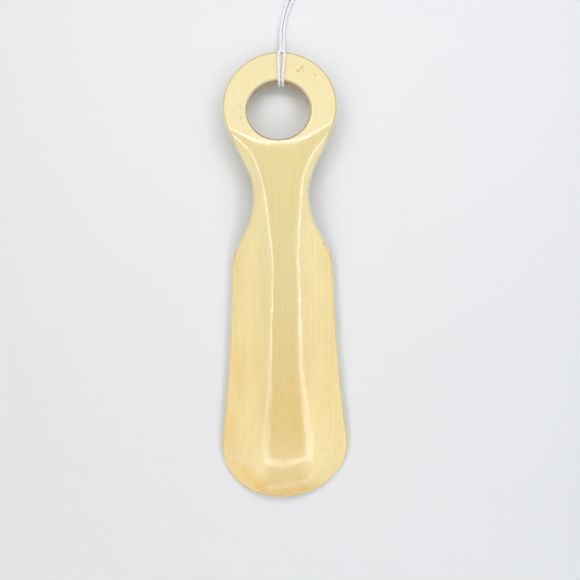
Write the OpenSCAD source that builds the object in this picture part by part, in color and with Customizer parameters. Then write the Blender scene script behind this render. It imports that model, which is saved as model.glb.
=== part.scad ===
// A one-piece pressed celluloid shoehorn with a finger ring, and the cotton string tied to its ring.
// It lies with its hollow side down: +Z is up, +Y runs towards the ring, and the tip points to -Y.

/* [Shoehorn] */
// Overall length, from the tip to the free end of the ring
horn_length = 176.4; // [172:0.2:182]
// Greatest width of the blade, near the tip
blade_width = 50.4; // [49:0.2:52]
// Width of the blade just under the shoulders
shoulder_width = 39.7; // [38:0.1:41]
// Least width of the neck
neck_width = 21.5; // [20:0.1:23]
// Thickness of the ring and the neck
plate_thickness = 2.6; // [2.2:0.1:3]
// Thickness of the blade at its tip
tip_thickness = 1.5; // [1.2:0.1:2]
// Height of the crest of the neck above the table
crest_height = 11.4; // [11:0.1:12]

/* [Finger ring] */
// Width across the ring
ring_width = 44.5; // [43:0.1:45]
// Length of the ring's outline along the shoehorn
ring_length = 45.4; // [44:0.2:47]
// Diameter of the finger hole
hole_diameter = 24.7; // [24:0.1:26]
// Distance from the ring's free end to the centre of the hole
hole_from_end = 24.7; // [24.2:0.1:24.9]
// Slope of the ring below the level of the neck, in degrees
ring_slope = 10.3; // [10:0.1:10.6]

/* [String] */
// Diameter of the twisted cotton string
string_diameter = 1.2; // [1:0.1:1.3]

/* [Hidden] */
$fn = 48;

ivory = [0.93, 0.84, 0.62];
cotton = [0.93, 0.94, 0.97];

// ---- The shoehorn's outline: its half width at each place y along it ----
end_y = horn_length / 2;
ring_y = end_y - ring_length / 2;
neck_y = 30.5;
flank_angle = 25.5;
lower_flank_angle = 29;
lower_neck_radius = 26.5;
shoulder_radius = 9;
tip_radius = 36;
corner_radius = 20.5;
corner_slope = 8;

// Ring, an oval that the upper flank touches
flank_turn = atan(tan(flank_angle) * ring_length / ring_width);
flank_x = ring_width / 2 * cos(flank_turn);
flank_y = ring_y - ring_length / 2 * sin(flank_turn);
function ring_half(y) = ring_width / 2 * sqrt(max(0, 1 - pow((y - ring_y) / (ring_length / 2), 2)));
function flank_half(y) = flank_x - tan(flank_angle) * (flank_y - y);

// Upper side of the neck, an arc that touches the flank and the narrowest place
upper_neck_radius = (flank_half(neck_y) - neck_width / 2)
    / (1 - cos(flank_angle) - tan(flank_angle) * sin(flank_angle));
upper_neck_end = neck_y + upper_neck_radius * sin(flank_angle);
lower_neck_end = neck_y - lower_neck_radius * sin(lower_flank_angle);
function neck_half(y, r) = neck_width / 2 + r - sqrt(r * r - pow(y - neck_y, 2));
function lower_flank_half(y) =
    neck_half(lower_neck_end, lower_neck_radius) + tan(lower_flank_angle) * (lower_neck_end - y);

// Shoulder, a small arc between the lower flank and the side of the blade
shoulder_y = lower_neck_end
    - (shoulder_width / 2 - neck_half(lower_neck_end, lower_neck_radius)) / tan(lower_flank_angle);
side_start_angle = 2.4;
shoulder_reach = shoulder_radius * tan((lower_flank_angle - side_start_angle) / 2);
shoulder_top = shoulder_y + shoulder_reach * cos(lower_flank_angle);
shoulder_low = shoulder_y - shoulder_reach * cos(side_start_angle);
shoulder_centre_x = shoulder_width / 2 + shoulder_reach * sin(side_start_angle)
    - shoulder_radius * cos(side_start_angle);
shoulder_centre_y = shoulder_low - shoulder_radius * sin(side_start_angle);
function shoulder_half(y) =
    shoulder_centre_x + sqrt(pow(shoulder_radius, 2) - pow(y - shoulder_centre_y, 2));

// Tip, one broad arc with a tighter arc at each corner
tip_centre_y = tip_radius - end_y;
corner_x = blade_width / 2 - corner_radius;
corner_turn = acos(corner_x / (tip_radius - corner_radius));
corner_y = tip_centre_y - (tip_radius - corner_radius) * sin(corner_turn);
tip_join = tip_centre_y - tip_radius * sin(corner_turn);
side_join = corner_y + corner_radius * sin(corner_slope);
function corner_half(y) = corner_x + sqrt(pow(corner_radius, 2) - pow(y - corner_y, 2));
function tip_half(y) = sqrt(max(0, pow(tip_radius, 2) - pow(y - tip_centre_y, 2)));

// Side of the blade, a slow curve from the shoulder that opens towards the corner of the tip
side_power = 2.9;
side_run = shoulder_y - side_join;
side_rise = corner_half(side_join) - shoulder_width / 2;
side_bend = (tan(corner_slope) * side_run - side_rise) / ((side_power - 1) * pow(side_run, side_power));
side_slope = tan(corner_slope) - side_power * side_bend * pow(side_run, side_power - 1);
function side_half(y) =
    shoulder_width / 2 + side_slope * (shoulder_y - y) + side_bend * pow(shoulder_y - y, side_power);

function half_width(y) =
    y > flank_y ? ring_half(y)
    : y > upper_neck_end ? flank_half(y)
    : y > neck_y ? neck_half(y, upper_neck_radius)
    : y > lower_neck_end ? neck_half(y, lower_neck_radius)
    : y > shoulder_top ? lower_flank_half(y)
    : y > shoulder_low ? shoulder_half(y)
    : y > side_join ? side_half(y)
    : y > tip_join ? corner_half(y)
    : tip_half(y);

// The hand-finished tip leans a little to the left
tip_lean = 1.5;
lean_start = -63;
function lean(y) = -tip_lean * pow(max(0, lean_start - y) / (lean_start + end_y), 2);

// ---- The shoehorn's height: a trough that runs out into the flat, sloping ring ----
blade_arch_radius = 1800;
neck_arch_radius = 3500;
curl_start = -56;
curl_radius = 85;
ring_end_height = 4.25;
crease_blend = 0.5;
function arch_radius(y) = y < 0 ? blade_arch_radius : neck_arch_radius;
function curl(y) = pow(max(0, curl_start - y), 2) / (2 * curl_radius);
function crest(y) = crest_height - y * y / (2 * arch_radius(y)) - curl(y);

// Across the blade the trough has a round crest, and across the upper neck a flatter, wider one
wing_steepness = 0.6;
wing_relief = 0.15;
wing_relief_from = 7;
wing_relief_run = 78;
round_half_width = 8;
round_neck_growth = 0.005;
round_tip_growth = 4.2;
round_tip_from = -30;
round_tip_run = 40;
flat_half_width = 5;
flat_growth = 2.1;
flat_from = 30;
flat_rate = 11.5;
flat_limit = 60;
share_from = 22;
share_run = 20;
function within(t) = min(1, max(0, t));
function soft_step(t) = t * t * (3 - 2 * t);
function wing_slope(y) = wing_steepness - wing_relief * within((wing_relief_from - y) / wing_relief_run);
function round_half(y) = round_half_width + round_neck_growth * pow(max(0, y), 2)
    + round_tip_growth * pow(max(0, round_tip_from - y) / round_tip_run, 2);
function flat_half(y) =
    flat_half_width + flat_growth * exp((min(y, flat_limit) - flat_from) / flat_rate);
function flat_share(y) = soft_step(within((y - share_from) / share_run));
function round_drop(x, y) = sqrt(x * x + pow(round_half(y), 2)) - round_half(y);
function flat_drop(x, y) = pow(pow(x, 4) + pow(flat_half(y), 4), 0.25) - flat_half(y);
function drop(x, y) =
    round_drop(x, y) + flat_share(y) * (flat_drop(x, y) - round_drop(x, y));
function trough(x, y) = crest(y) - wing_slope(y) * drop(x, y);

// The flat plane of the ring cuts the trough off along a soft crease
function ring_plane(y) = ring_end_height + tan(ring_slope) * (end_y - y);
function lower_of(a, b, blend) = (a + b - sqrt(pow(a - b, 2) + blend * blend)) / 2;
function top_height(x, y) = lower_of(ring_plane(y), trough(x, y), crease_blend);

// The sheet thins towards the tip, and its rim is rounded
thinning_start = -20;
rim_radius = 1.1;
rim_blunt = 0.35;
function thickness(y) = plate_thickness
    - (plate_thickness - tip_thickness) * within((thinning_start - y) / (thinning_start + end_y));
function rim(inset) =
    rim_blunt + (1 - rim_blunt) * sqrt(1 - pow(1 - min(1, max(0, inset) / rim_radius), 2));

// ---- The shoehorn's skin: a row of cross-sections, each a closed loop of points ----
across = 20;
stations = concat(
    [for (a = [3:6:15]) tip_centre_y - tip_radius * cos(a)],
    [for (a = [68:-9:14]) corner_y - corner_radius * sin(a)],
    [for (y = [-68:5:2]) y],
    [for (y = [5:2:13]) y],
    [for (y = [16:3:55]) y],
    [for (b = [-22:9:77]) ring_y + ring_length / 2 * sin(b)],
    [for (b = [82, 86]) ring_y + ring_length / 2 * sin(b)]
);
function section_point(y, j, side) =
    let(w = half_width(y))
    let(x = w * cos(180 * j / across))
    let(half = thickness(y) / 2 * rim(min(w - abs(x), end_y - abs(y))))
    [x + lean(y), y, top_height(x, y) - thickness(y) / 2 + side * half];
function section(y) = concat(
    [for (j = [0:across]) section_point(y, j, 1)],
    [for (j = [across:-1:0]) section_point(y, j, -1)]
);

module skin(loops) {
    n = len(loops[0]);
    last = len(loops) - 1;
    walls = [for (i = [0:last - 1], j = [0:n - 1])
        let(a = i * n + j, b = i * n + (j + 1) % n)
        each [[a, b, b + n], [a, b + n, a + n]]];
    caps = [for (j = [1:n - 2])
        each [[0, j + 1, j], [last * n, last * n + j, last * n + j + 1]]];
    polyhedron(points = [for (l = loops) each l], faces = concat(walls, caps), convexity = 6);
}

// ---- The ring's own frame: X across, Y out along the ring's slope, Z square to its face ----
hole_x = -0.5;
hole_y = end_y - hole_from_end;
ring_mid_height = ring_plane(hole_y) - plate_thickness / 2;
plate_half = plate_thickness / 2 * cos(ring_slope);
module on_ring() {
    translate([0, hole_y, ring_mid_height]) rotate([-ring_slope, 0, 0]) children();
}

// The finger hole's rim is rounded on both faces
hole_round = 0.3;
module finger_hole() {
    cylinder(d = hole_diameter, h = 12, center = true, $fn = 96);
    for (face = [0, 1]) mirror([0, 0, face]) translate([0, 0, plate_half - hole_round])
        rotate_extrude($fn = 96) difference() {
            square([hole_diameter / 2 + hole_round, hole_round + 1]);
            translate([hole_diameter / 2 + hole_round, 0]) circle(hole_round);
        }
}

// The shoehorn, pressed from one sheet
module horn() {
    color(ivory) difference() {
        skin([for (y = stations) section(y)]);
        on_ring() translate([hole_x, 0, 0]) finger_hole();
    }
}

// ---- The string: a tube swept along a route, with its rings turned as little as possible ----
string_sides = 8;
function unit(v) = v / norm(v);
function heading(p, i) = unit(p[min(i + 1, len(p) - 1)] - p[max(i - 1, 0)]);
function square_to(v, t) = unit(v - (v * t) * t);
function normals(p, v, i = 0) = i == len(p) ? []
    : let(n = square_to(v, heading(p, i))) concat([n], normals(p, n, i + 1));
function tube(p, d) =
    let(n = normals(p, [0.3, 0.2, 1]))
    [for (i = [0:len(p) - 1])
        let(t = heading(p, i), b = cross(t, n[i]))
        [for (k = [0:string_sides - 1])
            let(a = 360 * k / string_sides)
            p[i] + d / 2 * (cos(a) * n[i] - sin(a) * b)]];
module string(route) {
    color(cotton) skin(tube(route, string_diameter));
}

// Hitch round the ring's bar, in the ring's own frame, from the left strand to the bight and back
hitch_route = [
    [0.65, 28.7, -0.6], [0.65, 27.3, -0.8], [0.6, 26.1, -1.3], [0.4, 25.1, -1.9], [0.2, 23.4, -2.05],
    [0, 19.7, -2.05], [-0.1, 16.2, -2.05], [-0.15, 13.6, -2.05], [-0.15, 12.2, -1.95], [-0.15, 11.6, -1.2],
    [-0.15, 11.6, 0], [-0.15, 11.6, 1.2], [-0.15, 12.2, 1.95], [-0.15, 13.6, 2.05], [-0.15, 16.2, 2.05],
    [-0.15, 19.7, 2.05], [-0.15, 22.2, 2.05], [-0.1, 23.6, 2.05], [0.3, 24.4, 2.05], [1, 24.7, 2.05],
    [1.7, 24.4, 2.05], [2.1, 23.6, 2.05], [2.15, 22.2, 2.05], [1.9, 19.7, 2.05], [1.55, 16.2, 2.05],
    [1.3, 13.6, 2.05], [1.25, 12.2, 1.95], [1.25, 11.6, 1.2], [1.25, 11.6, 0], [1.25, 11.6, -1.2],
    [1.25, 12.2, -1.95], [1.3, 13.6, -2.05], [1.4, 16.2, -2.05], [1.55, 19.7, -2.05], [1.7, 23.4, -2.05],
    [1.85, 25.1, -1.9], [1.9, 26.1, -1.3], [1.9, 27.3, -0.8], [1.9, 28.7, -0.6]
];

// Strands of the loop, lying on the table
left_route = [
    [0.6, 93.8, 1.2], [0.65, 96, 0.8], [0.9, 99, 0.7], [1.4, 102, 0.7], [2.4, 106, 0.7],
    [3.7, 110, 0.7], [5, 114, 0.7], [6.2, 119, 0.7], [7, 124, 0.7], [7.2, 129, 0.7],
    [7, 134, 0.7], [6.5, 139, 0.7], [5.8, 144, 0.7], [5, 149, 0.7], [4.3, 154, 0.7],
    [3.7, 159, 0.8], [3.4, 163, 1.2], [3.6, 166, 1.9]
];
right_route = [
    [1.85, 93.8, 1.2], [1.95, 96, 0.8], [2.2, 99, 0.7], [2.7, 102, 0.7], [3.85, 106, 0.7],
    [5.5, 110, 0.7], [7.4, 114, 0.7], [9.6, 119, 0.7], [11.3, 124, 0.7], [12.2, 129, 0.7],
    [12.4, 134, 0.7], [12, 139, 0.7], [11, 144, 0.7], [9.6, 149, 0.7], [8, 154, 0.7],
    [6.4, 159, 0.8], [5.4, 163, 1.2], [5, 166, 1.9]
];
knot_place = [4.3, 168, 2];
knot_diameter = 4;
tail_length = 8;

module cord_hitch() {
    on_ring() string(hitch_route);
}

module cord_left() {
    string(left_route);
}

module cord_right() {
    string(right_route);
}

// Overhand knot that closes the loop, with its two short tails
module cord_knot() {
    color(cotton) {
        translate(knot_place) sphere(d = knot_diameter);
        for (turn = [-14, 12]) translate([knot_place.x, knot_place.y, string_diameter / 2 + 0.1])
            rotate([-90, 0, turn]) cylinder(d = string_diameter, h = tail_length, $fn = 16);
    }
}

horn();
cord_hitch();
cord_left();
cord_right();
cord_knot();
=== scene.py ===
"""Looks of a pressed celluloid shoehorn with a finger ring, and of the cotton string on its ring.

Lengths are in millimetres until a mesh is made. X is across the horn, +Y runs to its ring, Z is up.
"""

import math

import bpy
import numpy as np
from mathutils import Matrix, Vector, noise


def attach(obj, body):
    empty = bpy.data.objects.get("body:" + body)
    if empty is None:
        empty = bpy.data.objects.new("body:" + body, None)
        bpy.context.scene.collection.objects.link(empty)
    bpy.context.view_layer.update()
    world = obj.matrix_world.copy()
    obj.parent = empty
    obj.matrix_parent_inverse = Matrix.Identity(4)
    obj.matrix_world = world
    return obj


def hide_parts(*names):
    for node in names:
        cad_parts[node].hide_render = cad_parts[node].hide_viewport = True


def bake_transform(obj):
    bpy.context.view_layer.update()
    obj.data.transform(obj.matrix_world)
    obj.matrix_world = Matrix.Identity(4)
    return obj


MM = 0.001

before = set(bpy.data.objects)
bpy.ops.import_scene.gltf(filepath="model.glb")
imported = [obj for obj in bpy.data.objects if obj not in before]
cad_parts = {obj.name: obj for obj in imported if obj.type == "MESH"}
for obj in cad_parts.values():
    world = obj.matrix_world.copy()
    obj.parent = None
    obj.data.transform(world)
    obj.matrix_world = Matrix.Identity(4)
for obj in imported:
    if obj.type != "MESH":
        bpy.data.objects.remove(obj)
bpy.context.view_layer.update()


# ---- Camera: straight above the horn, a little to its right, and looking down ----

CAMERA_PLACE = (2.83, -6, 200)
CAMERA_TURN = math.radians(-0.91)
LENS = 30.8
SENSOR_WIDTH = 36
NEAREST_SEEN = 10


def make_camera():
    data = bpy.data.cameras.new("camera")
    data.sensor_width = SENSOR_WIDTH
    data.lens = LENS
    data.clip_start = NEAREST_SEEN * MM
    camera = bpy.data.objects.new("camera", data)
    camera.location = Vector(CAMERA_PLACE) * MM
    camera.rotation_euler = (0, 0, CAMERA_TURN)
    bpy.context.scene.collection.objects.link(camera)
    bpy.context.scene.camera = camera


# ---- Small helpers for meshes ----

class Skin:
    """Collects the points and faces of one mesh."""

    def __init__(self):
        self.points = []
        self.faces = []
        self.count = 0

    def add(self, points):
        """Adds an array of points and returns their numbers in the same layout."""
        points = np.asarray(points, float)
        ids = np.arange(self.count, self.count + points[..., 0].size).reshape(points.shape[:-1])
        self.points.append(points.reshape(-1, 3))
        self.count += ids.size
        return ids

    def quads(self, ids, closed=False, flip=False):
        """Joins neighbouring points of a grid of point numbers, round to the start where it is closed."""
        if closed:
            ids = np.concatenate([ids, ids[:, :1]], axis=1)
        corners = [ids[:-1, :-1], ids[:-1, 1:], ids[1:, 1:], ids[1:, :-1]]
        if flip:
            corners.reverse()
        self.faces.extend(np.stack(corners, axis=-1).reshape(-1, 4).tolist())

    def cap(self, ring, flip=False):
        """Closes the end of a tube."""
        ring = [int(i) for i in ring]
        self.faces.append(ring[::-1] if flip else ring)

    def make(self, name, material, slot):
        mesh = bpy.data.meshes.new(name)
        mesh.from_pydata((np.concatenate(self.points) * MM).tolist(), [], self.faces)
        mesh.validate()
        mesh.shade_smooth()
        mesh.materials.append(material)
        obj = bpy.data.objects.new(name, mesh)
        bpy.context.scene.collection.objects.link(obj)
        return obj


def unit(v):
    return v / np.linalg.norm(v, axis=-1, keepdims=True)


def length_of(line):
    return float(np.linalg.norm(np.diff(line, axis=0), axis=1).sum())


def spaced(line, count):
    """The line cut into equal steps, as count points."""
    run = np.concatenate([[0], np.cumsum(np.linalg.norm(np.diff(line, axis=0), axis=1))])
    at = np.linspace(0, run[-1], count)
    return np.stack([np.interp(at, run, line[:, k]) for k in range(line.shape[1])], axis=1)


def smooth_line(points, step, per_span=12):
    """A Catmull-Rom curve through the points, cut into equal steps."""
    p = np.array(points, float)
    p = np.concatenate([[2 * p[0] - p[1]], p, [2 * p[-1] - p[-2]]])
    t = np.linspace(0, 1, per_span, endpoint=False)[:, None]
    spans = []
    for a, b, c, d in zip(p[:-3], p[1:-2], p[2:-1], p[3:]):
        spans.append(b + 0.5 * t * (c - a + t * (2 * a - 5 * b + 4 * c - d + t * (3 * (b - c) + d - a))))
    line = np.concatenate(spans + [p[-2:-1]])
    return spaced(line, round(length_of(line) / step) + 1)


def sides_of(line):
    """Two directions square to a line at each of its points, which turn as little as they can."""
    heading = unit(np.gradient(line, axis=0))
    slanting = (0.3, 0.2, 1)
    side = [unit(np.cross(heading[0], slanting))]
    for t in heading[1:]:
        side.append(unit(side[-1] - t * np.dot(side[-1], t)))
    side = np.array(side)
    return side, np.cross(heading, side)


# ---- The shoehorn's shape, as the CAD model has it ----

HORN_LENGTH = 176.4
BLADE_WIDTH = 50.4
SHOULDER_WIDTH = 39.7
NECK_WIDTH = 21.5
PLATE_THICKNESS = 2.6
TIP_THICKNESS = 1.5
CREST_HEIGHT = 11.4
RING_WIDTH = 44.5
RING_LENGTH = 45.4
HOLE_DIAMETER = 24.7
HOLE_FROM_END = 24.7
RING_SLOPE = math.radians(10.3)

# Outline
END_Y = HORN_LENGTH / 2
RING_Y = END_Y - RING_LENGTH / 2
NECK_Y = 30.5
FLANK_ANGLE = math.radians(25.5)
LOWER_FLANK_ANGLE = math.radians(29)
LOWER_NECK_RADIUS = 26.5
SHOULDER_RADIUS = 9
TIP_RADIUS = 36
CORNER_RADIUS = 20.5
CORNER_SLOPE = math.radians(8)
SIDE_START_ANGLE = math.radians(2.4)
SIDE_POWER = 2.9
TIP_LEAN = 1.5
LEAN_START = -63
SIDE_POINTS = 40
OUTLINE_POINTS = 6000

# Crest and ring
BLADE_ARCH_RADIUS = 1800
NECK_ARCH_RADIUS = 3500
CURL_START = -56
CURL_RADIUS = 85
RING_END_HEIGHT = 4.25
CREASE_BLEND = 0.5
THINNING_START = -20

# Trough: round across the blade, flatter across the neck
WING_STEEPNESS = 0.6
WING_RELIEF = 0.15
WING_RELIEF_FROM = 7
WING_RELIEF_RUN = 78
ROUND_HALF_WIDTH = 8
ROUND_NECK_GROWTH = 0.005
ROUND_TIP_GROWTH = 4.2
ROUND_TIP_FROM = -30
ROUND_TIP_RUN = 40
FLAT_HALF_WIDTH = 5
FLAT_GROWTH = 2.1
FLAT_FROM = 30
FLAT_RATE = 11.5
FLAT_LIMIT = 60
SHARE_FROM = 22
SHARE_RUN = 20

# Faults of hand forming, too small for the CAD model:
# the crest bows aside, and the left of the ring's upper face is worn lower
CREST_BOW = 0.6
CREST_BOW_REACH = 24
RING_WEAR = 0.026
RING_WEAR_ROUND = 4

# Hole
HOLE_X = -0.5
HOLE_Y = END_Y - HOLE_FROM_END
HOLE_ROUND = 0.3
PLATE_HALF = PLATE_THICKNESS / 2 * math.cos(RING_SLOPE)
RING_MID_HEIGHT = RING_END_HEIGHT + math.tan(RING_SLOPE) * (END_Y - HOLE_Y) - PLATE_THICKNESS / 2


def arc(centre, radius, start, end, squash=1):
    """Points of an arc at every degree or so, as an array of x and y."""
    turn = np.linspace(start, end, max(8, int(abs(math.degrees(end - start)))))
    return np.stack([centre[0] + radius * np.cos(turn), centre[1] + squash * radius * np.sin(turn)], axis=1)


def ring_and_neck():
    """The outline's upper half, from the ring's free end to the end of the neck's lower curve."""
    squash = RING_LENGTH / RING_WIDTH
    flank_turn = math.atan(math.tan(FLANK_ANGLE) * squash)
    flank_x = RING_WIDTH / 2 * math.cos(flank_turn)
    flank_y = RING_Y - RING_LENGTH / 2 * math.sin(flank_turn)
    ring = arc((0, RING_Y), RING_WIDTH / 2, math.pi / 2, -flank_turn, squash)

    half_neck = NECK_WIDTH / 2
    flank_at_neck = flank_x - math.tan(FLANK_ANGLE) * (flank_y - NECK_Y)
    upper_radius = (flank_at_neck - half_neck) / (
        1 - math.cos(FLANK_ANGLE) - math.tan(FLANK_ANGLE) * math.sin(FLANK_ANGLE)
    )
    upper_centre = (half_neck + upper_radius, NECK_Y)
    upper_neck = arc(upper_centre, upper_radius, math.pi - FLANK_ANGLE, math.pi)
    lower_centre = (half_neck + LOWER_NECK_RADIUS, NECK_Y)
    lower_neck = arc(lower_centre, LOWER_NECK_RADIUS, math.pi, math.pi + LOWER_FLANK_ANGLE)
    return [ring, upper_neck, lower_neck]


def right_outline():
    """The horn's outline from the ring's free end down its right side to the tip, in fine steps."""
    upper = ring_and_neck()
    neck_end = upper[-1][-1]

    shoulder_y = neck_end[1] - (SHOULDER_WIDTH / 2 - neck_end[0]) / math.tan(LOWER_FLANK_ANGLE)
    reach = SHOULDER_RADIUS * math.tan((LOWER_FLANK_ANGLE - SIDE_START_ANGLE) / 2)
    shoulder_x = SHOULDER_WIDTH / 2 + reach * math.sin(SIDE_START_ANGLE)
    shoulder_x -= SHOULDER_RADIUS * math.cos(SIDE_START_ANGLE)
    shoulder_low = shoulder_y - reach * math.cos(SIDE_START_ANGLE)
    shoulder_centre = (shoulder_x, shoulder_low - SHOULDER_RADIUS * math.sin(SIDE_START_ANGLE))
    shoulder = arc(shoulder_centre, SHOULDER_RADIUS, LOWER_FLANK_ANGLE, SIDE_START_ANGLE)

    tip_y = TIP_RADIUS - END_Y
    corner_x = BLADE_WIDTH / 2 - CORNER_RADIUS
    corner_turn = math.acos(corner_x / (TIP_RADIUS - CORNER_RADIUS))
    corner_y = tip_y - (TIP_RADIUS - CORNER_RADIUS) * math.sin(corner_turn)
    corner = arc((corner_x, corner_y), CORNER_RADIUS, CORNER_SLOPE, -corner_turn)
    tip = arc((0, tip_y), TIP_RADIUS, -corner_turn, -math.pi / 2)

    side_run = shoulder_y - corner[0][1]
    rise = corner[0][0] - SHOULDER_WIDTH / 2
    bend = (math.tan(CORNER_SLOPE) * side_run - rise) / ((SIDE_POWER - 1) * side_run**SIDE_POWER)
    slope = math.tan(CORNER_SLOPE) - SIDE_POWER * bend * side_run ** (SIDE_POWER - 1)
    down = shoulder_y - np.linspace(shoulder_low, corner[0][1], SIDE_POINTS)
    side_x = SHOULDER_WIDTH / 2 + slope * down + bend * down**SIDE_POWER
    side = np.stack([side_x, shoulder_y - down], axis=1)

    line = np.concatenate([*upper, shoulder, side[1:-1], corner, tip[1:]])
    return spaced(line, OUTLINE_POINTS)


def lower_of(a, b, blend):
    """The lower of two heights, with a soft change from one to the other."""
    return (a + b - np.sqrt((a - b) ** 2 + blend**2)) / 2


def crest(y):
    """Height of the horn's middle line."""
    arch = np.where(y < 0, BLADE_ARCH_RADIUS, NECK_ARCH_RADIUS)
    curl = np.maximum(0, CURL_START - y) ** 2 / (2 * CURL_RADIUS)
    return CREST_HEIGHT - y**2 / (2 * arch) - curl


def trough(x, y):
    """Height of the blade and the neck: round across the blade, and flatter across the neck."""
    wing_slope = WING_STEEPNESS - WING_RELIEF * np.clip((WING_RELIEF_FROM - y) / WING_RELIEF_RUN, 0, 1)
    round_half = ROUND_HALF_WIDTH + ROUND_NECK_GROWTH * np.maximum(0, y) ** 2
    round_half += ROUND_TIP_GROWTH * (np.maximum(0, ROUND_TIP_FROM - y) / ROUND_TIP_RUN) ** 2
    flat_half = FLAT_HALF_WIDTH + FLAT_GROWTH * np.exp((np.minimum(y, FLAT_LIMIT) - FLAT_FROM) / FLAT_RATE)
    share = np.clip((y - SHARE_FROM) / SHARE_RUN, 0, 1)
    share = share**2 * (3 - 2 * share)
    aside = x - CREST_BOW * np.exp(-((y / CREST_BOW_REACH) ** 2))
    round_drop = np.sqrt(aside**2 + round_half**2) - round_half
    flat_drop = (aside**4 + flat_half**4) ** 0.25 - flat_half
    return crest(y) - wing_slope * (round_drop + share * (flat_drop - round_drop))


def top_height(x, y, wear):
    """Height of the horn's upper face: a trough that runs out into the flat, sloping ring.
    wear is how steeply the left of the ring's face is worn down."""
    ring_plane = RING_END_HEIGHT + math.tan(RING_SLOPE) * (END_Y - y)
    ring_plane -= wear * (np.sqrt(np.minimum(0, x) ** 2 + RING_WEAR_ROUND**2) - RING_WEAR_ROUND)
    return lower_of(ring_plane, trough(x, y), CREASE_BLEND)


def thickness(y):
    thinning = np.clip((THINNING_START - y) / (END_Y + THINNING_START), 0, 1)
    return PLATE_THICKNESS - (PLATE_THICKNESS - TIP_THICKNESS) * thinning


# ---- The horn's mesh: quads in rows, with rounded rims ----

# The ring's rows meet the blade's rows on a chord across the horn
CHORD_Y = 46
CHORD_STEPS = 48
RING_STEPS = 120
SIDE_STEPS = 135
HOLE_LEVELS = 20
# The last row runs this far each way from the tip's middle, and the rows above bend towards it
TIP_REACH = 27
TIP_BULGE_POWER = 4

# Rounded outer rim: its reach inwards, and its drop below the face, less where the sheet is thin
RIM_LEVELS = 6
RIM_REACH = 0.42
RIM_DROP = 0.5
RIM_DROP_SHARE = 0.46
TABLE_GAP = 0.01

# Unevenness of the pressed sheet: its height, and the length of its waves across and along
PRESS_WAVE = 0.035
BROAD_WAVE = (14, 30)
FINE_WAVE = (5, 9)
FINE_WAVE_SHARE = 0.4
FINE_WAVE_LEVEL = 7


def ripple(x, y):
    """The slight unevenness of a pressed sheet, in millimetres."""
    waves = []
    for a, b in zip(np.ravel(x), np.ravel(y)):
        broad = noise.noise(Vector((a / BROAD_WAVE[0], b / BROAD_WAVE[1], 0)))
        fine = noise.noise(Vector((a / FINE_WAVE[0], b / FINE_WAVE[1], FINE_WAVE_LEVEL)))
        waves.append(broad + FINE_WAVE_SHARE * fine)
    return PRESS_WAVE * np.array(waves).reshape(np.shape(x))


def horn_loop():
    """The outline as one closed loop of places and outward directions, from the right end of the chord
    round the ring, down the left side, round the tip and back up the right side."""
    right = right_outline()
    run = np.linspace(0, length_of(right), len(right))
    outward = np.gradient(right, axis=0)
    outward = unit(np.stack([-outward[:, 1], outward[:, 0]], axis=1))
    chord = np.interp(-CHORD_Y, -right[:, 1], run)
    corner = run[-1] - TIP_REACH
    whole = run[-1]
    # Runs on the left side are negative
    stops = [
        np.linspace(chord, -chord, RING_STEPS + 1)[:-1],
        np.linspace(-chord, -corner, SIDE_STEPS + 1)[:-1],
        np.linspace(-corner, corner - 2 * whole, CHORD_STEPS + 1)[:-1],
        np.linspace(corner, chord, SIDE_STEPS + 1)[:-1],
    ]
    at = np.concatenate(stops)
    at = np.where(at < -whole, at + 2 * whole, at)
    side = np.where(at < 0, -1, 1)
    columns = (right[:, 0], right[:, 1], outward[:, 0], outward[:, 1])
    values = [np.interp(np.abs(at), run, column) for column in columns]
    place = np.stack([side * values[0], values[1]], axis=1)
    away = unit(np.stack([side * values[2], values[3]], axis=1))
    return place, away


def face_point(plan, face, drop):
    """Points of the upper (face 1) or lower (face -1) side at places in plan, drop deep in the sheet."""
    x, y = plan[..., 0], plan[..., 1]
    half = thickness(y) / 2
    top = top_height(x, y, RING_WEAR if face > 0 else 0)
    z = top + ripple(x, y) - half + face * (half - drop)
    lean = TIP_LEAN * (np.maximum(0, LEAN_START - y) / (LEAN_START + END_Y)) ** 2
    return np.stack([x - lean, y, np.maximum(z, TABLE_GAP)], axis=-1)


def rim_loops(place, away, face):
    """Loops of the rounded outer rim, from the face to the edge."""
    rows = []
    for level in range(RIM_LEVELS + 1):
        turn = math.pi / 2 * level / RIM_LEVELS
        plan = place - away * RIM_REACH * (1 - math.sin(turn))
        depth = np.minimum(RIM_DROP, RIM_DROP_SHARE * thickness(plan[:, 1]))
        rows.append(face_point(plan, face, depth * (1 - math.cos(turn))))
    return np.array(rows)


def hole_loops(turns, face):
    """Loops of the hole's rounded rim, from the face to the wall."""
    rows = []
    for level in range(RIM_LEVELS + 1):
        turn = math.pi / 2 * level / RIM_LEVELS
        radius = HOLE_DIAMETER / 2 + HOLE_ROUND * (1 - math.sin(turn))
        drop = HOLE_ROUND * (1 - math.cos(turn))
        middle = HOLE_Y + face * (PLATE_HALF - drop) * math.sin(RING_SLOPE)
        x = HOLE_X + radius * np.cos(turns)
        y = middle + radius * np.sin(turns) * math.cos(RING_SLOPE)
        rows.append(face_point(np.stack([x, y], axis=1), face, drop / math.cos(RING_SLOPE)))
    return np.array(rows)


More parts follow.
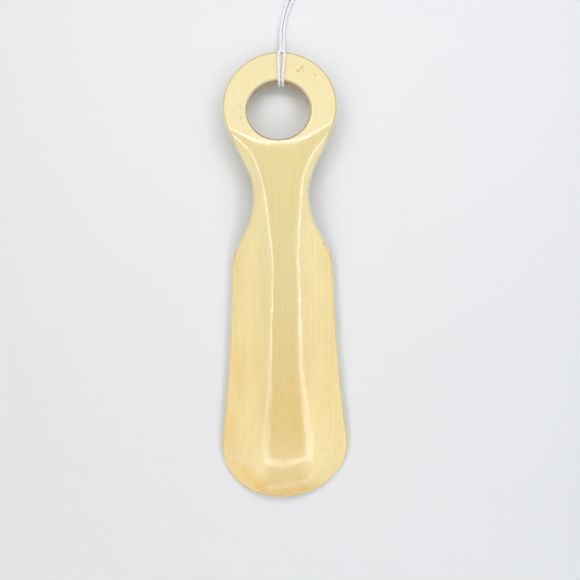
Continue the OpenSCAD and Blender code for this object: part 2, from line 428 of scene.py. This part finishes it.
def ring_face(skin, face, edge, edge_plan, chord_plan):
    """One side of the ring, from its edge and the chord to the hole, with its half of the hole's rim.
    Returns the chord's points and the hole's wall loop."""
    flip = face > 0
    ring_plan = np.concatenate([edge_plan, chord_plan])
    turns = np.arctan2(ring_plan[:, 1] - HOLE_Y, ring_plan[:, 0] - HOLE_X)
    rim = hole_loops(turns, face)
    hole = skin.add(rim)
    skin.quads(hole, closed=True, flip=flip)

    chord = skin.add(face_point(chord_plan, face, 0))
    hole_plan = rim[0][:, :2]
    share = np.linspace(0, 1, HOLE_LEVELS + 1)[1:-1, None, None]
    between = skin.add(face_point(hole_plan + (ring_plan - hole_plan) * share, face, 0))
    outer = np.concatenate([edge, chord])
    skin.quads(np.concatenate([hole[:1], between, outer[None]]), closed=True, flip=flip)
    return chord, hole[-1]


def blade_face(skin, face, edge, edge_plan, chord):
    """One side of the neck and the blade, from the chord to the tip."""
    tip_from = RING_STEPS + SIDE_STEPS
    down_left = slice(RING_STEPS, tip_from + 1)
    round_tip = slice(tip_from, tip_from + CHORD_STEPS + 1)
    down_right = -np.arange(SIDE_STEPS + 1) % len(edge)
    u = np.linspace(0, 1, CHORD_STEPS + 1)[None, :, None]
    v = np.linspace(0, 1, SIDE_STEPS + 1)[:, None, None]
    tip = edge_plan[round_tip]
    bulge = tip[None] - (tip[0] + (tip[-1] - tip[0]) * u)
    straight = edge_plan[down_left][:, None] * (1 - u) + edge_plan[down_right][:, None] * u
    plan = straight + bulge * v**TIP_BULGE_POWER

    blade = np.empty(plan.shape[:2], int)
    blade[1:-1, 1:-1] = skin.add(face_point(plan[1:-1, 1:-1], face, 0))
    blade[0, 1:-1] = chord
    blade[:, 0] = edge[down_left]
    blade[:, -1] = edge[down_right]
    blade[-1] = edge[round_tip]
    skin.quads(blade, flip=face > 0)


def horn_face(skin, face):
    """One side of the horn, with its half of both rims. Returns its edge loop and its hole's wall loop."""
    place, away = horn_loop()
    rim = skin.add(rim_loops(place, away, face))
    skin.quads(rim, closed=True, flip=face < 0)
    edge = rim[0]
    edge_plan = place - away * RIM_REACH
    left, right = edge_plan[RING_STEPS], edge_plan[0]
    across = np.linspace(0, 1, CHORD_STEPS + 1)[1:-1, None]
    chord_plan = left + (right - left) * across
    to_chord = RING_STEPS + 1
    chord, wall = ring_face(skin, face, edge[:to_chord], edge_plan[:to_chord], chord_plan)
    blade_face(skin, face, edge, edge_plan, chord)
    return rim[-1], wall


def make_horn(material):
    skin = Skin()
    top_edge, top_wall = horn_face(skin, 1)
    low_edge, low_wall = horn_face(skin, -1)
    skin.quads(np.stack([top_edge, low_edge]), closed=True)
    skin.quads(np.stack([top_wall, low_wall]), closed=True, flip=True)
    horn = skin.make("horn_celluloid", material, "celluloid")
    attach(horn, "horn")
    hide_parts("horn")


# ---- The string's route, as the CAD model has it ----

# Round the ring's bar, in the ring's own frame: across, out along its slope, square to its face
HITCH_ROUTE = [
    [0.65, 28.7, -0.6], [0.65, 27.3, -0.8], [0.6, 26.1, -1.3], [0.4, 25.1, -1.9], [0.2, 23.4, -2.05],
    [0, 19.7, -2.05], [-0.1, 16.2, -2.05], [-0.15, 13.6, -2.05], [-0.15, 12.2, -1.95], [-0.15, 11.6, -1.2],
    [-0.15, 11.6, 0], [-0.15, 11.6, 1.2], [-0.15, 12.2, 1.95], [-0.15, 13.6, 2.05], [-0.15, 16.2, 2.05],
    [-0.15, 19.7, 2.05], [-0.15, 22.2, 2.05], [-0.1, 23.6, 2.05], [0.3, 24.4, 2.05], [1, 24.7, 2.05],
    [1.7, 24.4, 2.05], [2.1, 23.6, 2.05], [2.15, 22.2, 2.05], [1.9, 19.7, 2.05], [1.55, 16.2, 2.05],
    [1.3, 13.6, 2.05], [1.25, 12.2, 1.95], [1.25, 11.6, 1.2], [1.25, 11.6, 0], [1.25, 11.6, -1.2],
    [1.25, 12.2, -1.95], [1.3, 13.6, -2.05], [1.4, 16.2, -2.05], [1.55, 19.7, -2.05], [1.7, 23.4, -2.05],
    [1.85, 25.1, -1.9], [1.9, 26.1, -1.3], [1.9, 27.3, -0.8], [1.9, 28.7, -0.6],
]
LEFT_ROUTE = [
    [0.6, 93.8, 1.2], [0.65, 96, 0.8], [0.9, 99, 0.7], [1.4, 102, 0.7], [2.4, 106, 0.7],
    [3.7, 110, 0.7], [5, 114, 0.7], [6.2, 119, 0.7], [7, 124, 0.7], [7.2, 129, 0.7],
    [7, 134, 0.7], [6.5, 139, 0.7], [5.8, 144, 0.7], [5, 149, 0.7], [4.3, 154, 0.7],
    [3.7, 159, 0.8], [3.4, 163, 1.2], [3.6, 166, 1.9],
]
RIGHT_ROUTE = [
    [1.85, 93.8, 1.2], [1.95, 96, 0.8], [2.2, 99, 0.7], [2.7, 102, 0.7], [3.85, 106, 0.7],
    [5.5, 110, 0.7], [7.4, 114, 0.7], [9.6, 119, 0.7], [11.3, 124, 0.7], [12.2, 129, 0.7],
    [12.4, 134, 0.7], [12, 139, 0.7], [11, 144, 0.7], [9.6, 149, 0.7], [8, 154, 0.7],
    [6.4, 159, 0.8], [5.4, 163, 1.2], [5, 166, 1.9],
]
KNOT_PLACE = np.array([4.3, 168, 2])
TAIL_LENGTH = 8

# The twist: two soft plies, drawn a little closer to the ring than the solid tube of the CAD model
STRING_STEP = 0.22
PLIES = 2
PLY_PITCH = 4.4
PLY_RADIUS = 0.42
PLY_OFFSET = 0.19
PLY_SIDES = 10
SWELL = 0.06
SWELL_LIMIT = 0.12
SWELL_STEPS = 9
HITCH_PRESS = 0.94

# Loose fibres
FIBRE_SEED = 7
FIBRE_RADIUS = 0.032
FIBRE_POINTS = 6
FIBRE_SIDES = 4
FIBRE_OUTWARD = 0.8
FIBRE_ALONG = 0.5
FIBRE_CURL = 0.45
FIBRE_TAPER = 0.6
FIBRE_FLOOR = 0.06
FIBRE_REACH = 1.3
FIBRE_SHORTEST = 0.35
HITCH_FIBRES = 110
STRAND_FIBRES = 70
BIGHT_FIBRES = 60
BIGHT_FIBRE_REACH = 1.7
BIGHT_STEPS = 12


def off_ring(points):
    """Points in the ring's own frame, moved to the row frame."""
    x, out, square = np.array(points, float).T
    y = HOLE_Y + out * math.cos(RING_SLOPE) + square * math.sin(RING_SLOPE)
    z = RING_MID_HEIGHT - out * math.sin(RING_SLOPE) + square * math.cos(RING_SLOPE)
    return np.stack([x, y, z], axis=1)


def add_tube(skin, line, radius, sides):
    """A closed tube round a line. radius is one number or one for each point."""
    side, up = sides_of(line)
    turn = np.linspace(0, 2 * math.pi, sides, endpoint=False)
    radius = np.broadcast_to(radius, len(line))[:, None, None]
    ring = side[:, None] * np.cos(turn)[None, :, None] + up[:, None] * np.sin(turn)[None, :, None]
    ids = skin.add(line[:, None] + radius * ring)
    skin.quads(ids, closed=True, flip=True)
    skin.cap(ids[0])
    skin.cap(ids[-1], flip=True)


def ply_lines(line, first_turn=0.0):
    """Centrelines of the plies twisted round a line."""
    side, up = sides_of(line)
    run = np.linspace(0, length_of(line), len(line))
    plies = []
    for k in range(PLIES):
        turn = first_turn + 2 * math.pi * (run / PLY_PITCH + k / PLIES)
        offset = side * np.cos(turn)[:, None] + up * np.sin(turn)[:, None]
        plies.append(line + PLY_OFFSET * offset)
    return plies


def add_plies(skin, plies, start, stop, rng):
    """Tubes of the plies between two points of their lines, a little uneven in thickness."""
    for ply in plies:
        part = ply[start:stop]
        stations = np.arange(0, len(part) + SWELL_STEPS, SWELL_STEPS)
        swell = 1 + SWELL * rng.standard_normal(len(stations))
        swell = np.clip(swell, 1 - SWELL_LIMIT, 1 + SWELL_LIMIT)
        add_tube(skin, part, PLY_RADIUS * np.interp(np.arange(len(part)), stations, swell), PLY_SIDES)


def add_fibres(skin, plies, start, stop, count, longest, rng):
    """Loose cotton fibres that stand off the string, the shortest a set share of the longest."""
    for _ in range(count):
        ply = plies[rng.integers(PLIES)]
        i = int(rng.integers(start + 1, stop - 1))
        along = unit(ply[i + 1] - ply[i - 1])
        out = unit(np.cross(along, rng.standard_normal(3)))
        bend = unit(rng.standard_normal(3))
        reach = longest * (FIBRE_SHORTEST + (1 - FIBRE_SHORTEST) * rng.random())
        t = np.linspace(0, 1, FIBRE_POINTS)[:, None]
        way = FIBRE_OUTWARD * out + FIBRE_ALONG * along
        line = ply[i] + reach * (t * way + FIBRE_CURL * t**2 * bend)
        line[:, 2] = np.maximum(line[:, 2], FIBRE_FLOOR)
        add_tube(skin, line, FIBRE_RADIUS * (1 - FIBRE_TAPER * t[:, 0]), FIBRE_SIDES)


def string_line():
    """The string's middle line, and the numbers of its points where the hitch starts and ends."""
    hitch_points = np.array(HITCH_ROUTE, float)
    hitch_points[:, 2] *= HITCH_PRESS
    hitch_route = off_ring(hitch_points)
    line = smooth_line(np.concatenate([LEFT_ROUTE[::-1], hitch_route, RIGHT_ROUTE]), STRING_STEP)
    start = int(np.argmin(np.linalg.norm(line - hitch_route[0], axis=1)))
    stop = int(np.argmin(np.linalg.norm(line - hitch_route[-1], axis=1)))
    return line, start, stop


def string_skin(plies, start, stop, fibres, rng):
    skin = Skin()
    add_plies(skin, plies, start, stop, rng)
    add_fibres(skin, plies, start, stop, fibres, FIBRE_REACH, rng)
    return skin


def add_bight_fibres(skin, line, plies, start, stop, rng):
    """More fibres where the hitch turns back on itself at the ring's end, above the ring."""
    hitch = line[start:stop]
    above_ring = hitch[:, 2] > RING_MID_HEIGHT
    bight = start + int(np.argmax(hitch[:, 1] * above_ring))
    first, last = bight - BIGHT_STEPS, bight + BIGHT_STEPS
    add_fibres(skin, plies, first, last, BIGHT_FIBRES, BIGHT_FIBRE_REACH, rng)


def declare_strand(strand, node):
    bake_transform(strand)
    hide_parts(node)


def make_string(material):
    """One twisted string from end to end, cut where the hitch ends and the loop's two strands start."""
    line, start, stop = string_line()
    plies = ply_lines(line)
    rng = np.random.default_rng(FIBRE_SEED)

    hitch_skin = string_skin(plies, start, stop + 1, HITCH_FIBRES, rng)
    add_bight_fibres(hitch_skin, line, plies, start, stop + 1, rng)
    left_skin = string_skin(plies, 0, start + 1, STRAND_FIBRES, rng)
    right_skin = string_skin(plies, stop, len(line), STRAND_FIBRES, rng)
    hitch = hitch_skin.make("string_hitch", material, "cotton")
    left = left_skin.make("string_left", material, "cotton")
    right = right_skin.make("string_right", material, "cotton")
    knot = make_knot(material, rng)

    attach(hitch, "hitch")
    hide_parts("cord_hitch")
    declare_strand(left, "cord_left")
    declare_strand(right, "cord_right")


# ---- The knot at the loop's end ----

# The wraps are a trefoil, once for each strand
KNOT_SCALE = 0.58
KNOT_STRETCH = 1.1
KNOT_DEPTH = 1.3
STRAND_SHIFTS = (0.0, 0.42)
STRAND_LIFT = 1.2
TREFOIL_POINTS = 90
WRAP_POINTS = 80
KNOT_FLOOR = 0.75

# Where each tail starts, left and right of the knot's middle, and its lean in degrees
TAILS = ((-0.5, 14), (0.5, -12))
TAIL_FRAY = 1.5
TAIL_DROP = 0.45
TAIL_STEP = 0.3
TAIL_POINTS = 24
TUFT_FIBRES = 46
TUFT_RADIUS = 0.045
TUFT_WIDTH = 0.24
TUFT_SPREAD = 0.22
TUFT_CURL = 0.3
TUFT_TAPER = 0.5
TUFT_SHORTEST = 1.1
TUFT_LONGER = 1.3
TUFT_FLOOR = 0.08


def add_wraps(skin, shift, rng):
    """One strand's way through the overhand knot, shifted along the trefoil."""
    turn = np.linspace(0, 2 * math.pi, TREFOIL_POINTS) + shift
    x = np.sin(turn) + 2 * np.sin(2 * turn)
    y = KNOT_STRETCH * (np.cos(turn) - 2 * np.cos(2 * turn))
    z = STRAND_LIFT * shift - KNOT_DEPTH * np.sin(3 * turn)
    line = KNOT_PLACE + KNOT_SCALE * np.stack([x, y, z], axis=1)
    line[:, 2] = np.maximum(line[:, 2], KNOT_FLOOR)
    plies = ply_lines(spaced(line, WRAP_POINTS), first_turn=shift)
    add_plies(skin, plies, 0, WRAP_POINTS, rng)


def add_tail(skin, start_x, lean, rng):
    """A short tail that comes down from the knot to the table. Returns its line."""
    lean = math.radians(lean)
    # Every fourth point guides the line, so the last guide leaves room for the tuft
    reach = np.linspace(0, TAIL_LENGTH - TAIL_FRAY, TAIL_POINTS)[::4]
    x = KNOT_PLACE[0] + start_x - np.sin(lean) * reach
    y = KNOT_PLACE[1] + np.cos(lean) * reach
    z = np.maximum(KNOT_FLOOR, KNOT_PLACE[2] - TAIL_DROP * reach)
    line = smooth_line(np.stack([x, y, z], axis=1), TAIL_STEP)
    plies = ply_lines(line, first_turn=start_x)
    add_plies(skin, plies, 0, len(line), rng)
    return line


def add_tuft(skin, line, rng):
    """The frayed end of a tail."""
    heading = unit(line[-1] - line[-4])
    t = np.linspace(0, 1, FIBRE_POINTS)[:, None]
    for _ in range(TUFT_FIBRES):
        spread = TUFT_SPREAD * rng.standard_normal(3)
        base = line[-2] + TUFT_WIDTH * rng.standard_normal(3)
        reach = TUFT_SHORTEST + TUFT_LONGER * rng.random()
        curl = TUFT_CURL * rng.standard_normal(3)
        fibre = base + reach * t * unit(heading + spread) + t**2 * curl
        fibre[:, 2] = np.maximum(fibre[:, 2], TUFT_FLOOR)
        add_tube(skin, fibre, TUFT_RADIUS * (1 - TUFT_TAPER * t[:, 0]), FIBRE_SIDES)


def make_knot(material, rng):
    """An overhand knot of the doubled string, and its two short tails with frayed ends."""
    skin = Skin()
    for shift in STRAND_SHIFTS:
        add_wraps(skin, shift, rng)
    for start_x, lean in TAILS:
        tail = add_tail(skin, start_x, lean, rng)
        add_tuft(skin, tail, rng)
    knot = skin.make("string_knot", material, "cotton")
    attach(knot, "loop")
    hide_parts("cord_knot")
    return knot


# ---- Materials ----

class Nodes:
    """Builds a material's node tree in few words."""

    def __init__(self, name, settings):
        self.material = bpy.data.materials.new(name)
        self.material.use_nodes = True
        self.tree = self.material.node_tree
        self.tree.nodes.clear()
        self.shader = self.add("ShaderNodeBsdfPrincipled")
        output = self.add("ShaderNodeOutputMaterial")
        self.link(self.shader.outputs[0], output.inputs[0])
        self.fill(self.shader, settings)

    def add(self, kind, **properties):
        node = self.tree.nodes.new(kind)
        for key, value in properties.items():
            setattr(node, key, value)
        return node

    def fill(self, node, settings):
        for key, value in settings.items():
            node.inputs[key].default_value = value

    def link(self, source, target):
        self.tree.links.new(source, target)

    def coordinates(self, kind):
        return self.add("ShaderNodeTexCoord").outputs[kind]

    def split(self, vector):
        node = self.add("ShaderNodeSeparateXYZ")
        self.link(vector, node.inputs[0])
        return node.outputs

    def place(self, scale):
        """Object coordinates, stretched by a scale for each axis."""
        mapping = self.add("ShaderNodeMapping")
        self.fill(mapping, {"Scale": scale})
        self.link(self.coordinates("Object"), mapping.inputs["Vector"])
        return mapping.outputs["Vector"]

    def noise(self, scale, detail, roughness=0.5):
        texture = self.add("ShaderNodeTexNoise")
        self.fill(texture, {"Scale": 1, "Detail": detail, "Roughness": roughness})
        self.link(self.place(scale), texture.inputs["Vector"])
        return texture.outputs["Fac"]

    def bands(self, scale, distortion):
        """Slanting ridges that run a little unevenly."""
        texture = self.add("ShaderNodeTexWave", bands_direction="DIAGONAL")
        self.fill(texture, {"Scale": 1, "Distortion": distortion, "Detail": 1, "Detail Scale": 1})
        self.link(self.place(scale), texture.inputs["Vector"])
        return texture.outputs["Fac"]

    def away_from(self, x, y, along, across, turn):
        """Distance from a place in plan, in units of an ellipse's two reaches."""
        mapping = self.add("ShaderNodeMapping", vector_type="TEXTURE")
        self.fill(mapping, {
            "Location": (x * MM, y * MM, 0),
            "Rotation": (0, 0, math.radians(turn)),
            "Scale": (along * MM, across * MM, 1),
        })
        self.link(self.coordinates("Object"), mapping.inputs["Vector"])
        length = self.add("ShaderNodeVectorMath", operation="LENGTH")
        self.link(mapping.outputs["Vector"], length.inputs[0])
        return length.outputs["Value"]

    def ramp(self, source, low, high, to_low=0.0, to_high=1.0):
        """A smooth change from to_low where the source is low to to_high where it is high."""
        node = self.add("ShaderNodeMapRange", interpolation_type="SMOOTHSTEP")
        self.fill(node, {"From Min": low, "From Max": high, "To Min": to_low, "To Max": to_high})
        self.link(source, node.inputs["Value"])
        return node.outputs["Result"]

    def math(self, operation, *values):
        node = self.add("ShaderNodeMath", operation=operation)
        for target, value in zip(node.inputs, values):
            if isinstance(value, (int, float)):
                target.default_value = value
            else:
                self.link(value, target)
        return node.outputs[0]

    def mix(self, share, a, b):
        """Colour a, and colour b by the share. A Mix node's colours are inputs 6 and 7 and output 2."""
        node = self.add("ShaderNodeMix", data_type="RGBA")
        for target, value in zip((node.inputs[0], node.inputs[6], node.inputs[7]), (share, a, b)):
            if isinstance(value, tuple):
                target.default_value = (*value, 1)
            else:
                self.link(value, target)
        return node.outputs[2]

    def bump(self, height, distance, below=None, strength=1.0):
        node = self.add("ShaderNodeBump")
        self.fill(node, {"Strength": strength, "Distance": distance})
        self.link(height, node.inputs["Height"])
        if below is not None:
            self.link(below, node.inputs["Normal"])
        return node.outputs["Normal"]


def linear(red, green, blue):
    """A colour given in 0 to 255, as light."""
    def light(c):
        c /= 255
        return c / 12.92 if c <= 0.04045 else ((c + 0.055) / 1.055) ** 2.4
    return tuple(light(c) for c in (red, green, blue))


IVORY = linear(231, 216, 158)
HONEY = linear(232, 206, 141)
AMBER = linear(238, 209, 143)
# Painted light: a paler, brighter colour for the blade's wings
WING_PAINTED_LIGHT = linear(250, 226, 157)
CLOUD = linear(236, 198, 122)
DARK_GRAIN = linear(220, 192, 128)
PALE_GRAIN = linear(248, 238, 200)
STAIN = linear(176, 112, 54)
WARM = linear(244, 196, 106)
# Painted highlight: a pale colour for the rims
PAINTED_EDGE_HIGHLIGHT = linear(252, 241, 200)
# Painted shade: a dark colour for the wall of the hole
HOLE_WALL_PAINTED_SHADE = linear(150, 112, 62)
COTTON = linear(243, 242, 248)
WARM_COTTON = linear(247, 243, 243)
COTTON_SHADE = linear(196, 198, 216)
FLOOR = linear(229, 229, 230)

# Small marks of age: x, y, reach along the mark, reach across it, turn in degrees, strength
STAINS = [
    (8.7, 80.9, 1.35, 0.28, 55, 0.8),
    (7.2, 79.8, 0.85, 0.28, -35, 0.8),
    (9.5, 79.6, 0.3, 0.3, 0, 0.7),
    (4.2, 81.6, 0.4, 0.35, 0, 0.4),
    (-1.9, 82.8, 0.3, 0.4, 0, 0.45),
    (13.9, 77.9, 0.7, 0.5, -40, 0.3),
    (-15.3, 65.1, 0.35, 0.7, 10, 0.4),
    (-15, 60.5, 0.7, 0.5, 30, 0.35),
    (16.2, 11.7, 0.35, 0.6, -25, 0.5),
    (-20, 5.5, 0.25, 0.25, 0, 0.3),
    (-11.8, -82.4, 0.9, 0.35, -20, 0.3),
]

# Broad warm patches, in the same terms
WARM_PATCHES = [
    (-18.3, -37.9, 4, 14, 4, 0.5),
    (-13.4, -80.8, 10, 4, -32, 0.7),
    (-15.5, -76.5, 3, 2.5, 20, 0.5),
    (2, -56, 5, 16, 0, 0.25),
    (-22, -60, 3.5, 11, 2, 0.6),
    (4, -86, 16, 2.5, 8, 0.5),
]


def aged_ivory_and_wing_light(n, x, y):
    """The sheet's colour: warmer to the tip, clouded and grained, with painted light that makes the blade's
    wings paler.
    """
    body = n.mix(n.ramp(y, 30, -50), IVORY, HONEY)
    body = n.mix(n.ramp(y, -50, -90, 0, 0.7), body, AMBER)
    # Painted light: the blade's wings are painted paler, as if lit by the brighter surroundings they face
    painted_wing_light = n.math("MULTIPLY", n.ramp(n.math("ABSOLUTE", x), 5, 13), n.ramp(y, 32, 10))
    body = n.mix(n.math("MULTIPLY", painted_wing_light, 0.8), body, WING_PAINTED_LIGHT)
    cloud = n.noise((60, 25, 60), detail=4, roughness=0.6)
    body = n.mix(n.ramp(cloud, 0.4, 0.8, 0, 0.35), body, CLOUD)
    grain = n.noise((1900, 22, 1900), detail=3, roughness=0.65)
    body = n.mix(n.ramp(grain, 0.42, 0.62, 0, 0.22), body, DARK_GRAIN)
    fine = n.noise((4200, 60, 4200), detail=2)
    return n.mix(n.ramp(fine, 0.5, 0.7, 0, 0.14), body, PALE_GRAIN)


def marks_of_age(n, body, facing_up):
    """Stains, on the upper face only, and warm patches."""
    upward = n.ramp(facing_up, 0.2, 0.5)
    wobble = n.noise((900, 900, 900), detail=3, roughness=0.7)
    for *ellipse, strength in STAINS:
        ragged = n.math("ADD", n.away_from(*ellipse), n.math("MULTIPLY", wobble, 1.2))
        share = n.math("MULTIPLY", n.ramp(ragged, 2.0, 0.9, 0, strength), upward)
        body = n.mix(share, body, STAIN)
    blotch = n.noise((320, 200, 320), detail=3, roughness=0.65)
    for *ellipse, strength in WARM_PATCHES:
        uneven = n.math("ADD", n.away_from(*ellipse), n.math("MULTIPLY", blotch, 1.4))
        body = n.mix(n.ramp(uneven, 2.2, 0.6, 0, strength), body, WARM)
    return body


def polish_bumps(n, y):
    """Rubbing marks and pits of the polish, and slanting ridges that grow towards the tip."""
    bump = n.bump(n.noise((600, 40, 600), detail=1), 0.00001)
    bump = n.bump(n.noise((1000, 170, 1000), detail=0), 0.000016, bump)
    bump = n.bump(n.noise((900, 1300, 900), detail=0), 0.000013, bump)
    reach = n.math("MULTIPLY", n.ramp(y, -5, -60, 0.12, 1.0), n.ramp(y, -64, -75, 1.0, 0.3))
    ridges = n.math("MULTIPLY", n.bands((330, 440, 0), distortion=1.6), reach)
    return n.bump(ridges, 0.000017, bump)


def celluloid():
    n = Nodes("celluloid", {
        "IOR": 1.5,
        "Subsurface Weight": 0.18,
        "Subsurface Radius": (1.0, 0.62, 0.28),
        "Subsurface Scale": 0.0016,
        "Coat Roughness": 0.04,
    })
    where = n.split(n.place((1000, 1000, 1000)))
    facing_up = n.split(n.coordinates("Normal"))["Z"]
    body = aged_ivory_and_wing_light(n, where["X"], where["Y"])
    body = marks_of_age(n, body, facing_up)

    # Painted highlight: the edges, picked by how far they face sideways, are painted pale as if lit bright
    # along the rims
    edge = n.ramp(n.math("ABSOLUTE", facing_up), 0.84, 0.5, 0, 0.85)
    body = n.mix(edge, body, PAINTED_EDGE_HIGHLIGHT)
    # Painted shade: the wall of the hole is painted dark
    hole_shade_distance = n.away_from(HOLE_X, HOLE_Y, HOLE_DIAMETER / 2, HOLE_DIAMETER / 2, 0)
    body = n.mix(n.ramp(hole_shade_distance, 1.03, 1.0, 0, 0.8), body, HOLE_WALL_PAINTED_SHADE)
    n.link(body, n.shader.inputs["Base Color"])

    worn = n.noise((140, 90, 140), detail=4, roughness=0.6)
    n.link(n.ramp(worn, 0.35, 0.7, 0.14, 0.24), n.shader.inputs["Roughness"])
    specks = n.noise((900, 1100, 900), detail=0)
    n.link(n.ramp(specks, 0.38, 0.56, 0.45, 0.95), n.shader.inputs["Coat Weight"])
    bump = polish_bumps(n, where["Y"])
    n.link(bump, n.shader.inputs["Normal"])
    n.link(bump, n.shader.inputs["Coat Normal"])
    return n.material


def cotton():
    n = Nodes("cotton", {
        "Roughness": 0.92,
        "Sheen Weight": 0.35,
        "Sheen Roughness": 0.5,
        "Subsurface Weight": 0.15,
        "Subsurface Radius": (1, 1, 1),
        "Subsurface Scale": 0.0003,
    })
    fibre = n.noise((5200, 1900, 5200), detail=3, roughness=0.7)
    tint = n.noise((240, 90, 240), detail=2)
    body = n.mix(n.ramp(tint, 0.4, 0.65), COTTON, WARM_COTTON)
    body = n.mix(n.ramp(fibre, 0.45, 0.75, 0, 0.35), body, COTTON_SHADE)
    n.link(body, n.shader.inputs["Base Color"])
    n.link(n.bump(fibre, 0.00012, strength=0.8), n.shader.inputs["Normal"])
    return n.material


# ---- Floor and light ----

FLOOR_REACH = 1500
FLOOR_POINTS = 13
LENGTHWAYS = (0, 1, 0)
CROSSWAYS = (1, 0, 0)
COOL_LIGHT = (0.88, 0.96, 1.0)
WORLD_COLOUR = (0.95, 0.97, 1.0, 1)
WORLD_STRENGTH = 0.29


def make_floor():
    skin = Skin()
    reach = np.linspace(-FLOOR_REACH, FLOOR_REACH, FLOOR_POINTS)
    x, y = np.meshgrid(reach, reach)
    skin.quads(skin.add(np.stack([x, y, np.zeros_like(x)], axis=-1)))
    material = Nodes("floor", {"Base Color": (*FLOOR, 1), "Roughness": 0.85}).material
    floor = skin.make("floor", material, "")


def add_panel(name, place, aim, along, size, power, colour=(1, 1, 1)):
    """A rectangular lamp at a place, turned to a point, with its length along a direction."""
    data = bpy.data.lights.new(name, "AREA")
    data.shape = "RECTANGLE"
    data.size = size[0] * MM
    data.size_y = size[1] * MM
    data.energy = power
    data.color = colour
    light = bpy.data.objects.new(name, data)
    back = (Vector(place) - Vector(aim)).normalized()
    across = Vector(along).cross(back).normalized()
    light.matrix_world = Matrix((across, back.cross(across), back)).transposed().to_4x4()
    light.location = Vector(place) * MM
    bpy.context.scene.collection.objects.link(light)


def make_lights():
    # Four thin strips round the camera show as the thin bright loop on the polish
    add_panel("strip_left", (-130, -45, 200), (0, -45, 0), LENGTHWAYS, (7, 480), 0.078)
    add_panel("strip_right", (155, -45, 200), (0, -45, 0), LENGTHWAYS, (7, 480), 0.086)
    add_panel("strip_top", (10, 152, 200), (0, 40, 0), CROSSWAYS, (12, 285), 0.1)
    add_panel("strip_low", (10, -274, 200), (0, -70, 0), CROSSWAYS, (11, 285), 0.07)
    # A fifth one, further beyond the tip, shows as the faint line near the tip's edge
    add_panel("strip_tip", (40, -520, 240), (0, -80, 0), CROSSWAYS, (12, 420), 0.065)
    # Broad soft panels: beyond the ring, beyond the tip, and at each side, the right one cooler
    add_panel("soft_far", (0, 420, 520), (0, 40, 0), CROSSWAYS, (300, 700), 1.15)
    add_panel("soft_near", (0, -460, 420), (0, -60, 0), CROSSWAYS, (300, 800), 0.36)
    add_panel("soft_left", (-400, -150, 380), (0, -150, 0), LENGTHWAYS, (300, 1300), 1.0)
    add_panel("soft_right", (400, -150, 380), (0, -150, 0), LENGTHWAYS, (300, 1300), 1.2, COOL_LIGHT)


def make_world():
    world = bpy.data.worlds.new("world")
    bpy.context.scene.world = world
    world.use_nodes = True
    background = world.node_tree.nodes["Background"]
    background.inputs["Color"].default_value = WORLD_COLOUR
    background.inputs["Strength"].default_value = WORLD_STRENGTH


make_camera()
make_string(cotton())
make_horn(celluloid())
make_floor()
make_lights()
make_world()
bpy.context.scene.view_settings.view_transform = "Standard"
